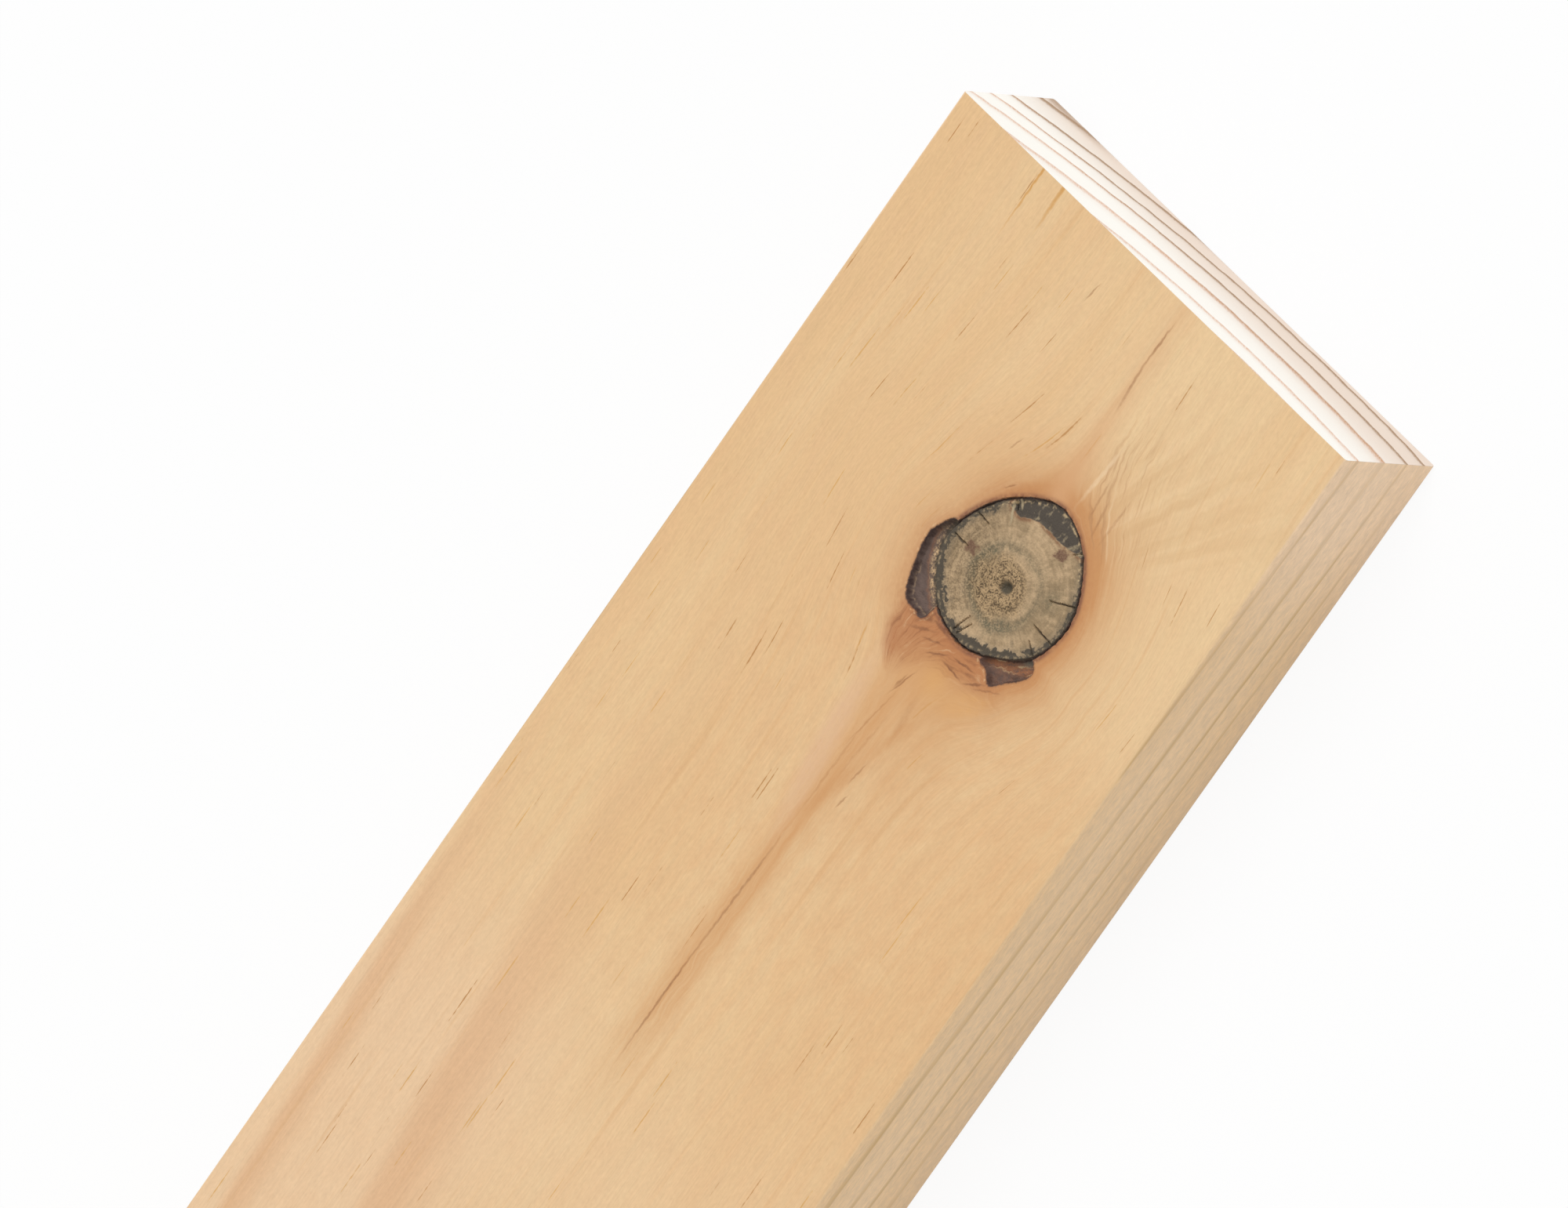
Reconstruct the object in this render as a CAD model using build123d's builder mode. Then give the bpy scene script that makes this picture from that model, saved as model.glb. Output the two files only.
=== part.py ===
from build123d import *

import os

# A dressed pine board, one sawn piece, lying flat with its knotty end towards +X

# The board's section and length: a dressed five-quarter by four, six feet long
length = 1828.8
width = 88.9
thickness = 25.4
arris_radius = 0.5

# The dead knot: the middle of its oval face, measured from the end and from the board's middle line
knot_from_end = 50.8
knot_off_centre = -9.4
knot_length = 27.4
knot_width = 26.4

# The branch leans along the grain, so its back face lies this much further from the end
knot_lean = 6.0

# Points round the knot's face, as shares of half its length and half its width
knot_outline_shares = [
    (1.00, -0.14), (0.85, 0.33), (0.42, 0.77), (-0.24, 0.99), (-0.79, 0.65),
    (-1.00, 0.11), (-0.85, -0.43), (-0.49, -0.87), (0.12, -0.99), (0.73, -0.66),
]

# The seam that opened all round the knot as the board dried
seam_width = 0.6
seam_depth = 1.6

# The two pockets of bark against the knot, as the same shares, each lobe closing inside the knot
bark_depth = 2.2
upper_bark_shares = [
    (-1.03, 0.59), (-1.07, 0.77), (-1.01, 0.96), (-0.72, 1.09), (-0.37, 1.17), (-0.17, 1.13),
    (0.03, 0.95), (-0.40, 0.55),
]
lower_bark_shares = [
    (-0.93, -0.30), (-1.00, -0.46), (-1.10, -0.59), (-0.93, -0.76), (-0.74, -0.93), (-0.61, -0.95),
    (-0.51, -0.80), (-0.62, -0.45),
]

# The crescent inside the rim where the knot has decayed, as the same shares
decay_depth = 0.7
decay_shares = [
    (0.67, 0.50), (0.58, 0.35), (0.65, 0.21), (0.70, 0.00), (0.69, -0.29), (0.72, -0.50), (0.78, -0.62),
    (1.15, 0.00),
]

# The branch's pith, a crumbled cone in the middle of its rings
pith_diameter = 2.2
pith_depth = 1.8
pith_taper_degrees = 24
pith_shares = (-0.13, -0.04)


def around_knot(shares, inset=0):
    """Turn shares into places in the knot's own plane, with the half sizes drawn in by the inset."""
    half_length = knot_length / 2 - inset
    half_width = knot_width / 2 - inset
    return [(along * half_length, across * half_width) for along, across in shares]


knot_along = length / 2 - knot_from_end
front_face = Plane((knot_along, knot_off_centre, thickness))
back_face = Plane((knot_along - knot_lean, knot_off_centre, 0))

with BuildPart() as plank:
    # The sawn and planed stick: its section run along the length
    with BuildSketch(Plane.YZ.offset(-length / 2)) as section:
        Rectangle(width, thickness, align=(Align.CENTER, Align.MIN))
        fillet(section.vertices(), arris_radius)
    extrude(amount=length)

    # The seam and the pith show on both faces that the branch passes through
    for face, inward in ((front_face, -1), (back_face, 1)):
        with BuildSketch(face):
            with BuildLine():
                Spline(*around_knot(knot_outline_shares), periodic=True)
            make_face()
            with BuildLine():
                Spline(*around_knot(knot_outline_shares, seam_width), periodic=True)
            make_face(mode=Mode.SUBTRACT)
        extrude(amount=inward * seam_depth, mode=Mode.SUBTRACT)

        with BuildSketch(face):
            with Locations(*around_knot([pith_shares])):
                Circle(pith_diameter / 2)
        extrude(amount=inward * pith_depth, taper=pith_taper_degrees, mode=Mode.SUBTRACT)

    # Each bark pocket runs from its own lobe to the middle of the seam
    for lobe_shares in (upper_bark_shares, lower_bark_shares):
        with BuildSketch(front_face):
            with BuildLine():
                Spline(*around_knot(lobe_shares), periodic=True)
            make_face()
            with BuildLine():
                Spline(*around_knot(knot_outline_shares, seam_width / 2), periodic=True)
            make_face(mode=Mode.SUBTRACT)
        extrude(amount=-bark_depth, mode=Mode.SUBTRACT)

    # The decayed crescent runs from its lobe outwards to the middle of the seam
    with BuildSketch(front_face):
        with BuildLine():
            Spline(*around_knot(decay_shares), periodic=True)
        make_face()
        with BuildLine():
            Spline(*around_knot(knot_outline_shares, seam_width / 2), periodic=True)
        make_face(mode=Mode.INTERSECT)
    extrude(amount=-decay_depth, mode=Mode.SUBTRACT)

plank.part.label = "plank"

os.makedirs("parts", exist_ok=True)
export_step(plank.part, "parts/plank.step")
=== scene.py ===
# %% [markdown]
# # A pine board with a dead knot
# The object is one stick of planed pine. A branch died and was grown over while the tree stood, so the
# board carries a dark knot with bark beside it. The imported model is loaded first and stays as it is:
# it fixes where the board lies, how big it is and where the knot sits, and everything below follows it.

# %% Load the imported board
import math

import bmesh
import bpy
import numpy as np
from mathutils import Matrix, Vector, noise


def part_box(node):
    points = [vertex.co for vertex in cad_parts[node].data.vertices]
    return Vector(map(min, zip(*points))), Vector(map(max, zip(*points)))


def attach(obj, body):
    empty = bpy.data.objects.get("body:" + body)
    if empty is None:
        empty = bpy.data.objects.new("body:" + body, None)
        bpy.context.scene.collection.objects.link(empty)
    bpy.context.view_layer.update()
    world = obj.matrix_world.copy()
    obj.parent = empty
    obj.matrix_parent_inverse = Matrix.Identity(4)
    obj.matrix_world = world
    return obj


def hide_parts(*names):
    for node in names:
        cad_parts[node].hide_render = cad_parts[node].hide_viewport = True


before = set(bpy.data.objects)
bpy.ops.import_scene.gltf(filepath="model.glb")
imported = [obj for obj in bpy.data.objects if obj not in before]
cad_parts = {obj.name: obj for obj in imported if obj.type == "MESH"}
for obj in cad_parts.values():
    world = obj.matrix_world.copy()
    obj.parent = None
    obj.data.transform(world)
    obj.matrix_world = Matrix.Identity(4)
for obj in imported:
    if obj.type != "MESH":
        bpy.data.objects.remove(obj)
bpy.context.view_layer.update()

low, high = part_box("plank")
size = high - low
mm = 0.001
print("board", [round(side / mm, 1) for side in size], "mm")

# %% [markdown]
# ## The camera
# The board is seen from above and from far away, so its long edges hardly converge. A long lens from far
# off gives that flat look and still works from any other side, which an orthographic camera would not.
# The camera is set by the spot it aims at, then turned round the board, tipped down and rolled.

# %% Aim the camera
lens_mm = 540
sensor_mm = 36
camera_distance = 3.569
camera_azimuth = math.radians(36.409)
camera_elevation = math.radians(56.873)
camera_roll = math.radians(-86.701)
aim_from_end = 79.7 * mm
aim_across = 19.35 * mm
farthest_seen = 100

aim = Vector((high.x - aim_from_end, aim_across, high.z))
turn = (
    Matrix.Rotation(camera_azimuth, 4, "Z")
    @ Matrix.Rotation(math.pi / 2 - camera_elevation, 4, "X")
    @ Matrix.Rotation(camera_roll, 4, "Z")
)
camera_data = bpy.data.cameras.new("camera")
camera_data.lens = lens_mm
camera_data.sensor_width = sensor_mm
camera_data.clip_end = farthest_seen
camera = bpy.data.objects.new("camera", camera_data)
camera.matrix_world = Matrix.Translation(aim) @ turn @ Matrix.Translation((0, 0, camera_distance))
bpy.context.collection.objects.link(camera)
bpy.context.scene.camera = camera
print("camera at", [round(part, 3) for part in camera.matrix_world.translation])

# %% [markdown]
# ## Numbers on a node sheet
# A finish is a sheet of nodes, and sums drawn as boxes and wires are hard to read. So one small class
# wraps a socket and lets Python's own signs add the Math nodes: `1 - mask * 0.5` builds two of them.
# Every other kind of node comes from one method, which takes its type, its settings and its inputs.

# %% A sheet of nodes that reads like arithmetic


class Value:
    """A number that varies over a surface; sums on it add Math nodes."""

    def __init__(self, sheet, socket):
        self.sheet = sheet
        self.socket = socket

    def __add__(self, other):
        return self.sheet.math("ADD", self, other)

    def __sub__(self, other):
        return self.sheet.math("SUBTRACT", self, other)

    def __rsub__(self, other):
        return self.sheet.math("SUBTRACT", other, self)

    def __mul__(self, other):
        return self.sheet.math("MULTIPLY", self, other)

    def __truediv__(self, other):
        return self.sheet.math("DIVIDE", self, other)

    def __rtruediv__(self, other):
        return self.sheet.math("DIVIDE", other, self)

    def __abs__(self):
        return self.sheet.math("ABSOLUTE", self)

    __radd__ = __add__
    __rmul__ = __mul__


print("sums with + - * / and abs become Math nodes")

# %% [markdown]
# ## The sheet itself
# A finish is built up in layers, each laid where some measure of the place is high: stain close to the
# knot, a dark band late in each year. So the sheet has a method for each kind of measure, a smooth step, a
# bell, a fade or a cloudy noise, and one to lay a colour. All of them could be typed out as nodes each
# time, but with names the recipes further down stay short enough to read.

# %% The ways to add to a sheet


class Sheet:
    """The node sheet of a finish or of the sky, and the ways to add to it."""

    def __init__(self, owner):
        self.owner = owner
        owner.use_nodes = True
        self.tree = owner.node_tree
        self.tree.nodes.clear()

    def node(self, kind, settings=None, inputs=None, output=0):
        """Add a node of this kind, set it up, feed its sockets and return one of its outputs."""
        made = self.tree.nodes.new(kind)
        for name, setting in (settings or {}).items():
            setattr(made, name, setting)
        for key, given in (inputs or {}).items():
            if isinstance(key, str):
                socket = next(s for s in made.inputs if s.enabled and key in (s.name, s.identifier))
            else:
                socket = made.inputs[key]
            if isinstance(given, Value):
                self.tree.links.new(given.socket, socket)
            else:
                socket.default_value = given
        if isinstance(output, str):
            return Value(self, next(s for s in made.outputs if s.enabled and s.name == output))
        return Value(self, made.outputs[output]) if made.outputs else None

    def math(self, operation, *terms):
        return self.node("ShaderNodeMath", {"operation": operation}, dict(enumerate(terms)))

    def step(self, value, start, end, first=0.0, last=1.0):
        """Go smoothly from first to last while the value goes from start to end."""
        places = {"Value": value, "From Min": start, "From Max": end, "To Min": first, "To Max": last}
        return self.node("ShaderNodeMapRange", {"interpolation_type": "SMOOTHSTEP"}, places)

    def bell(self, value, width):
        """1 where the value is 0, fading to nothing over about twice the width on each side."""
        share = value / width
        return self.math("EXPONENT", share * share * -1)

    def fade(self, distance, reach):
        """1 at no distance, falling to about a third of itself over each reach."""
        return self.math("EXPONENT", distance / -reach)

    def vector(self, x, y, z):
        return self.node("ShaderNodeCombineXYZ", None, {"X": x, "Y": y, "Z": z})

    def scale(self, vector, share):
        """All three parts of a place or a colour times one share."""
        return self.node("ShaderNodeVectorMath", {"operation": "SCALE"}, {0: vector, "Scale": share})

    def noise(self, vector, detail=2.0, roughness=0.5):
        """Cloudy noise about 0, mostly from -1 to 1, with one cloud to a unit of the vector."""
        inputs = {"Vector": vector, "Scale": 1.0, "Detail": detail, "Roughness": roughness}
        return self.node("ShaderNodeTexNoise", None, inputs) * 2 - 1

    def mix(self, share, first, second):
        """The first colour, with a share of it replaced by the second."""
        settings = {"data_type": "RGBA", "clamp_factor": True}
        inputs = {"Factor_Float": share, "A_Color": first, "B_Color": second}
        return self.node("ShaderNodeMix", settings, inputs, "Result")


def srgb(red, green, blue):
    """A colour as a picture shows it, in steps of 255, turned into light."""
    parts = [part / 255 for part in (red, green, blue)]
    return (*(p / 12.92 if p < 0.04045 else ((p + 0.055) / 1.055) ** 2.4 for p in parts), 1)


print("half of a picture's white is", round(srgb(128, 128, 128)[0], 3), "of its light")

# %% [markdown]
# ## Floor and light
# A pale board on white needs soft, even light: a plain white sky gives most of it, and one broad sun
# from beyond the knotty end makes that end the brightest face and leaves the near edge a little darker.
# To the camera the floor is partly a white screen, so that it reads as white and still keeps the shadow.

# %% Lay the floor and light the board
sky_strength = 0.70
sun_strength = 0.46 * math.pi
sun_spread = math.radians(40)
towards_sun = Vector((0.72, 0.22, 0.66))
floor_drop = 0.2 * mm
floor_reach = 60.0
floor_sides = 64
floor_white = (0.9, 0.9, 0.9, 1)
pure_white = (1, 1, 1, 1)
screen_share = 0.90


def seen_directly(sheet):
    """1 for a ray from the camera, a mirror or a pane, and 0 for light that falls on the board."""
    kinds = ("Is Camera Ray", "Is Glossy Ray", "Is Transmission Ray")
    camera_ray, glossy, through = (sheet.node("ShaderNodeLightPath", None, None, kind) for kind in kinds)
    return sheet.math("MAXIMUM", sheet.math("MAXIMUM", camera_ray, glossy), through)


sky = Sheet(bpy.data.worlds.new("sky"))
brightness = seen_directly(sky) * (1 - sky_strength) + sky_strength
air = sky.node("ShaderNodeBackground", None, {"Color": pure_white, "Strength": brightness})
sky.node("ShaderNodeOutputWorld", None, {"Surface": air})
bpy.context.scene.world = sky.owner

sun_data = bpy.data.lights.new("sun", "SUN")
sun_data.energy = sun_strength
sun_data.angle = sun_spread
sun = bpy.data.objects.new("sun", sun_data)
sun.rotation_euler = towards_sun.to_track_quat("Z", "Y").to_euler()
bpy.context.collection.objects.link(sun)

floor_finish = Sheet(bpy.data.materials.new("floor_white"))
matt = floor_finish.node("ShaderNodeBsdfDiffuse", None, {"Color": floor_white})
glow = floor_finish.node("ShaderNodeEmission", None, {"Color": pure_white, "Strength": 1.0})
screen = seen_directly(floor_finish) * screen_share
shown = floor_finish.node("ShaderNodeMixShader", None, {0: screen, 1: matt, 2: glow})
floor_finish.node("ShaderNodeOutputMaterial", None, {"Surface": shown})

disc = bmesh.new()
level = Matrix.Translation((0, 0, low.z - floor_drop))
bmesh.ops.create_circle(disc, cap_ends=True, segments=floor_sides, radius=floor_reach, matrix=level)
floor_mesh = bpy.data.meshes.new("floor")
disc.to_mesh(floor_mesh)
disc.free()
floor_mesh.materials.append(floor_finish.owner)
floor = bpy.data.objects.new("floor", floor_mesh)
bpy.context.collection.objects.link(floor)
bpy.context.scene.view_settings.view_transform = "Standard"
print("floor", floor_reach, "m round, sky", sky_strength)

# %% [markdown]
# ## The stick
# A planer leaves four flat faces and takes the sharpness off the long corners, and a saw cuts the ends
# square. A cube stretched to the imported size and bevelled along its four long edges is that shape.
# It is then sliced into cells, small near the knotty end and longer away from it, so that there are
# points to press the knot's relief into.

# %% Saw the stick and slice it into cells
arris = 0.5 * mm
arris_rounds = 3
cell = 5.5 * mm
fine_run = 0.25
growth = 1.25
longest_cell = 0.06
last_room = 1.5
snap = 1e-7

stick = bmesh.new()
stretch = Matrix.Translation((low + high) / 2) @ Matrix.Diagonal((*size, 1))
bmesh.ops.create_cube(stick, size=1, matrix=stretch)
corners = [edge for edge in stick.edges if edge.calc_length() > size.x / 2]
bmesh.ops.bevel(
    stick, geom=corners, offset=arris, offset_type="OFFSET", segments=arris_rounds,
    profile=0.5, affect="EDGES", material=-1,
)


def slice_at(axis, places):
    """Cut every face of the stick at these places along an axis."""
    normal = Vector([float(axis == index) for index in range(3)])
    for place in places:
        everything = stick.verts[:] + stick.edges[:] + stick.faces[:]
        bmesh.ops.bisect_plane(
            stick, geom=everything, dist=snap, plane_co=normal * place, plane_no=normal
        )


stations = [high.x - cell]
spacing = cell
while stations[-1] - last_room * spacing > low.x:
    if stations[-1] < high.x - fine_run:
        spacing = min(spacing * growth, longest_cell)
    stations.append(stations[-1] - spacing)
slice_at(0, stations)
for axis in (1, 2):
    flat_run = size[axis] - 2 * arris
    cell_count = round(flat_run / cell)
    slice_at(axis, [low[axis] + arris + flat_run * row / cell_count for row in range(1, cell_count)])
print("sliced stick", len(stick.faces), "faces")

# %% [markdown]
# ## Where the knot lies
# The knot's outline, its two pockets of bark and the crescent where the rim broke away are smooth closed
# loops. They are given by a few points, as shares of half the knot's length and width, the same points
# that the packed model was cut with, so that the relief and the finish agree with it. The drying checks
# are short straight cracks, so only their two ends are given.

# %% Place the knot, its bark and its checks, in millimetres
knot_from_end = 50.8
knot_across = -9.4
knot_half = np.array([13.7, 13.2])
knot_lean = 6.0
top_mm = high.z / mm
knot_along = high.x / mm - knot_from_end
pith_shift = np.array([-1.8, -0.5])
outline_shares = [
    (1.00, -0.14), (0.85, 0.33), (0.42, 0.77), (-0.24, 0.99), (-0.79, 0.65),
    (-1.00, 0.11), (-0.85, -0.43), (-0.49, -0.87), (0.12, -0.99), (0.73, -0.66),
]
upper_bark_shares = [
    (-1.03, 0.59), (-1.07, 0.77), (-1.01, 0.96), (-0.72, 1.09), (-0.37, 1.17), (-0.17, 1.13),
    (0.03, 0.95), (-0.40, 0.55),
]
lower_bark_shares = [
    (-0.93, -0.30), (-1.00, -0.46), (-1.10, -0.59), (-0.93, -0.76), (-0.74, -0.93), (-0.61, -0.95),
    (-0.51, -0.80), (-0.62, -0.45),
]
crescent_shares = [
    (0.67, 0.50), (0.58, 0.35), (0.65, 0.21), (0.70, 0.00), (0.69, -0.29), (0.72, -0.50), (0.78, -0.62),
    (1.15, 0.00),
]
# Drying checks in the knot: where each starts and ends, in millimetres from the knot's middle, and its
# half width
checks = [
    ((-1.3, 11.8), (-1.3, 9.0), 0.15), ((3.8, 10.6), (3.6, 8.0), 0.10),
    ((8.2, 5.6), (10.6, 7.2), 0.12), ((-12.6, 2.8), (-9.2, 1.7), 0.10),
    ((-12.6, 1.9), (-9.8, 0.6), 0.08), ((-3.3, -12.2), (-3.0, -8.1), 0.14),
    ((3.8, -12.4), (1.6, -8.0), 0.10), ((-6.7, -10.8), (-5.4, -9.0), 0.14),
    ((9.4, -6.7), (11.0, -8.1), 0.10),
]
print("knot", (2 * knot_half).tolist(), "mm, with", len(checks), "drying checks")

# %% [markdown]
# ## From points to loops and distances
# Nothing that grew has sharp corners, so a closed Catmull-Rom curve joins the points: it passes through
# all of them and bends evenly in between. How far a place lies from a loop, below zero inside it, then
# says what is wood, bark or gap there. A painted mask could say so too, but a distance stays sharp at any
# size and can be widened or roughened with a sum.

# %% Join the points and measure distances
group_size = 2000


def smooth_loop(shares, steps=10):
    """Points along a closed curve through the given shares, in millimetres from the knot's middle."""
    points = np.array(shares) * knot_half
    shifts = (1, 0, -1, -2)
    before, here, after, beyond = (np.roll(points, shift, axis=0)[:, None] for shift in shifts)
    part = np.linspace(0, 1, steps, endpoint=False)[None, :, None]
    bend = 2 * before - 5 * here + 4 * after - beyond
    twist = 3 * here - before - 3 * after + beyond
    curve = here + part * (after - before) / 2 + part**2 * bend / 2 + part**3 * twist / 2
    return curve.reshape(-1, 2)


def signed_gap(places, loop):
    """How far each place lies from a closed loop, below zero inside it."""
    ends = np.roll(loop, -1, axis=0)
    run = ends - loop
    found = []
    for group in np.array_split(places, max(len(places) // group_size, 1)):
        away = group[:, None] - loop
        part = np.clip((away * run).sum(2) / (run * run).sum(1), 0, 1)
        gaps = np.linalg.norm(away - part[:, :, None] * run, axis=2).min(1)
        row = group[:, None, 1]
        passes = (loop[:, 1] > row) != (ends[:, 1] > row)
        meets = loop[:, 0] + away[:, :, 1] * run[:, 0] / np.where(run[:, 1] == 0, 1, run[:, 1])
        inside = (passes & (group[:, None, 0] < meets)).sum(1) % 2 == 1
        found.append(np.where(inside, -gaps, gaps))
    return np.concatenate(found)


def check_gap(places):
    """How far each place lies outside the nearest drying check, in half widths of it."""
    gaps = []
    for start, stop, half in checks:
        start = np.array(start)
        run = np.array(stop) - start
        part = np.clip((places - start) @ run / (run @ run), 0, 1)
        gaps.append(np.linalg.norm(places - start - part[:, None] * run, axis=1) / half)
    return np.min(gaps, axis=0)


outline = smooth_loop(outline_shares)
upper_bark = smooth_loop(upper_bark_shares)
lower_bark = smooth_loop(lower_bark_shares)
crescent_loop = smooth_loop(crescent_shares)
print("knot outline", len(outline), "points, middle at", round(knot_along, 1), knot_across)

# %% [markdown]
# ## Finer cells round the knot
# A seam half a millimetre wide needs cells smaller than itself, but a whole board of them would be far
# too heavy. Splitting in four only the cells near the knot, again and again in ever smaller rings, keeps
# the small cells where the relief is. The branch runs through the board, so its back gets some as well.

# %% Split the cells near the knot
front_rings = [42, 33, 27, 22, 19]
back_rings = [32, 25, 20, 17]
facing = 0.9


def split_cells(up, rings):
    """Split the cells of the upper or lower face in four inside each ring in turn."""
    middle = Vector((knot_along - (0 if up > 0 else knot_lean), knot_across)) * mm
    for radius in rings:
        near = [
            face for face in stick.faces
            if face.normal.z * up > facing
            and (face.calc_center_median().xy - middle).length < radius * mm
        ]
        edges = list({edge for face in near for edge in face.edges})
        bmesh.ops.subdivide_edges(stick, edges=edges, cuts=1, use_grid_fill=True)
        stick.normal_update()


stick.normal_update()
split_cells(1, front_rings)
split_cells(-1, back_rings)
triangles = sum(len(face.verts) - 2 for face in stick.faces)
print("stick with fine cells", len(stick.faces), "faces,", triangles, "triangles")

# %% [markdown]
# ## A flat layout for a picture map
# A picture map can hold the board's finish on one square picture, so its faces are laid out flat on that
# square here. A long thin board wastes most of a square, so each face is squeezed along its length, and
# only the last part with the knot keeps its true proportions and gets the most room.

# %% Lay the faces out on one square
square = 1024
front_part = 0.225
back_part = 0.105
front_cut = max(place for place in stations if place < high.x - front_part)
back_cut = max(place for place in stations if place < high.x - back_part)
# Each row: the side's axis and direction, the axis that runs to the right on the square and where it
# starts and ends, the axis that runs up, and the left, bottom, width and height in pixels
patches = [
    (2, 1, 0, front_cut, high.x, 1, 4, 4, 920, 356),
    (2, 1, 0, low.x, front_cut, 1, 4, 366, 1016, 196),
    (2, -1, 0, back_cut, high.x, 1, 4, 568, 242, 204),
    (2, -1, 0, low.x, back_cut, 1, 252, 568, 682, 204),
    (1, -1, 0, front_cut, high.x, 2, 4, 778, 920, 102),
    (1, -1, 0, low.x, front_cut, 2, 4, 886, 1016, 64),
    (1, 1, 0, low.x, high.x, 2, 4, 956, 1016, 60),
    (0, 1, 2, low.z, high.z, 1, 930, 4, 90, 356),
    (0, -1, 2, low.z, high.z, 1, 940, 568, 80, 204),
]


def find_patch(face):
    """The row for the side that a face looks to and the part of the length that it lies on."""
    axis = max(range(3), key=lambda index: abs(face.normal[index]))
    middle = face.calc_center_median()
    for patch in patches:
        side, direction, right, start, stop = patch[:5]
        if side == axis and direction * face.normal[axis] > 0 and start < middle[right] < stop:
            return patch


flat_map = stick.loops.layers.uv.new("OFBake")
for face in stick.faces:
    direction, right, start, stop, rise_axis, left, bottom, wide, tall = find_patch(face)[1:]
    mirrored = direction * (-1 if (right, rise_axis) != (0, 1) else 1) < 0
    for loop in face.loops:
        part = (loop.vert.co[right] - start) / (stop - start)
        height = (loop.vert.co[rise_axis] - low[rise_axis]) / size[rise_axis]
        height = 1 - height if mirrored else height
        loop[flat_map].uv = ((left + part * wide) / square, (bottom + height * tall) / square)

plank_mesh = bpy.data.meshes.new("plank")
stick.to_mesh(plank_mesh)
stick.free()
print(len(patches), "patches on a square of", square, "pixels")

# %% [markdown]
# ## Pressing the relief in
# The gap that opened round the dead knot, the hollows where bark has crumbled, the drying checks and the
# pith are real dips, so they are pressed into the mesh and not only painted. Each dip is a depth that
# depends on the distance to its loop. The same distances are kept on the mesh as attributes, so that the
# finish can colour exactly what was pressed.

# %% Find the points of the wide faces
far_away = 45.0
tolerance = 1e-3

point_count = len(plank_mesh.vertices)
places = np.empty(point_count * 3)
plank_mesh.vertices.foreach_get("co", places)
places = places.reshape(-1, 3) / mm
on_top = places[:, 2] > high.z / mm - tolerance
on_back = places[:, 2] < low.z / mm + tolerance
gaps = {name: np.full(point_count, far_away) for name in ("knot_gap", "bark_gap", "crescent_gap")}
depth = np.zeros(point_count)


def clouds(spots, scale, seed):
    """Smooth noise from -1 to 1 at each spot, one cloud to about a unit of scale."""
    return np.array([noise.noise((x / scale, y / scale, seed)) for x, y in spots])


def rise(value, start, end):
    """Go smoothly from 0 to 1 while the value goes from start to end."""
    part = np.clip((value - start) / (end - start), 0, 1)
    return part * part * (3 - 2 * part)


print(int(on_top.sum()), "points on the upper face and", int(on_back.sum()), "on the back")

# %% [markdown]
# ## Seam, pith, bark, crescent and checks
# Each dip starts at its loop and is fully deep a fraction of a millimetre further in. Wood that broke away
# or tore was not milled, so noises shift the slopes and the depths a little. Bark and the crescent take
# the deeper of two dips where they meet, and the fine checks are added on top. On the back the branch
# shows only its seam, its rings and its pith.

# %% Press the dips and keep the distances
seam_depth = 0.7
seam_middle = -0.15
seam_half_width = 0.21
bark_depth = 1.9
crescent_depth = 0.6
pith_depth = 1.3
pith_radius = 1.0
check_depth = 0.45
knot_sink = 0.06
grit_depth = 0.05
ring_depth = 0.04
ring_turns = 4.4
smooth_angle = math.radians(50)

for face_mask, lean in ((on_top, 0), (on_back, knot_lean)):
    spots = places[:, :2] - (knot_along - lean, knot_across)
    near = face_mask & (np.abs(spots).max(1) < far_away + knot_half.max())
    spots = spots[near]
    ragged = clouds(spots, 0.9, 1.0)
    from_knot = signed_gap(spots, outline)
    patchy = clouds(spots, 3.0, 2.0)
    seam_width = seam_half_width * (1 + 0.5 * patchy)
    off_seam = np.abs(from_knot - seam_middle + 0.2 * ragged)
    dip = seam_depth * (0.7 + 0.4 * patchy) * (1 - rise(off_seam, 0.25 * seam_width, seam_width))
    to_pith = np.linalg.norm(spots - pith_shift, axis=1)
    dip += pith_depth * np.exp(-((to_pith / pith_radius) ** 2))
    on_knot = 1 - rise(from_knot, -0.5, -0.2)
    knot_grit = grit_depth * clouds(spots, 0.5, 3.0)
    dip += on_knot * (knot_sink + knot_grit + ring_depth * np.sin(to_pith * ring_turns))
    gaps["knot_gap"][near] = from_knot
    if lean == 0:
        from_bark = np.minimum(signed_gap(spots, upper_bark), signed_gap(spots, lower_bark))
        hollow = 0.68 + 0.14 * clouds(spots, 2.2, 4.0) + 0.07 * ragged
        in_bark = rise(-from_bark + 0.15 * ragged, 0.0, 0.45) * rise(from_knot, -0.45, -0.1)
        dip = np.maximum(dip, bark_depth * hollow * in_bark)
        from_crescent = signed_gap(spots, crescent_loop)
        dip = np.maximum(dip, crescent_depth * rise(-from_crescent + 0.1 * ragged, 0.0, 0.4) * on_knot)
        cracks = check_gap(spots + 0.08 * ragged[:, None])
        dip += check_depth * (1 - rise(cracks, 0.4, 1.4)) * on_knot
        gaps["bark_gap"][near] = from_bark
        gaps["crescent_gap"][near] = from_crescent
    depth[near] = np.maximum(dip, 0)

places[:, 2] += np.where(on_top, -depth, depth)
plank_mesh.vertices.foreach_set("co", (places * mm).ravel())
for name, values in gaps.items():
    layer = plank_mesh.attributes.new(name, "FLOAT", "POINT")
    layer.data.foreach_set("value", np.clip(values, -far_away, far_away).astype(np.float32))
plank_mesh.polygons.foreach_set("use_smooth", [True] * len(plank_mesh.polygons))
plank_mesh.set_sharp_from_angle(angle=smooth_angle)
plank_mesh.update()
print("deepest dip", round(float(depth.max()), 2), "mm")

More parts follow.
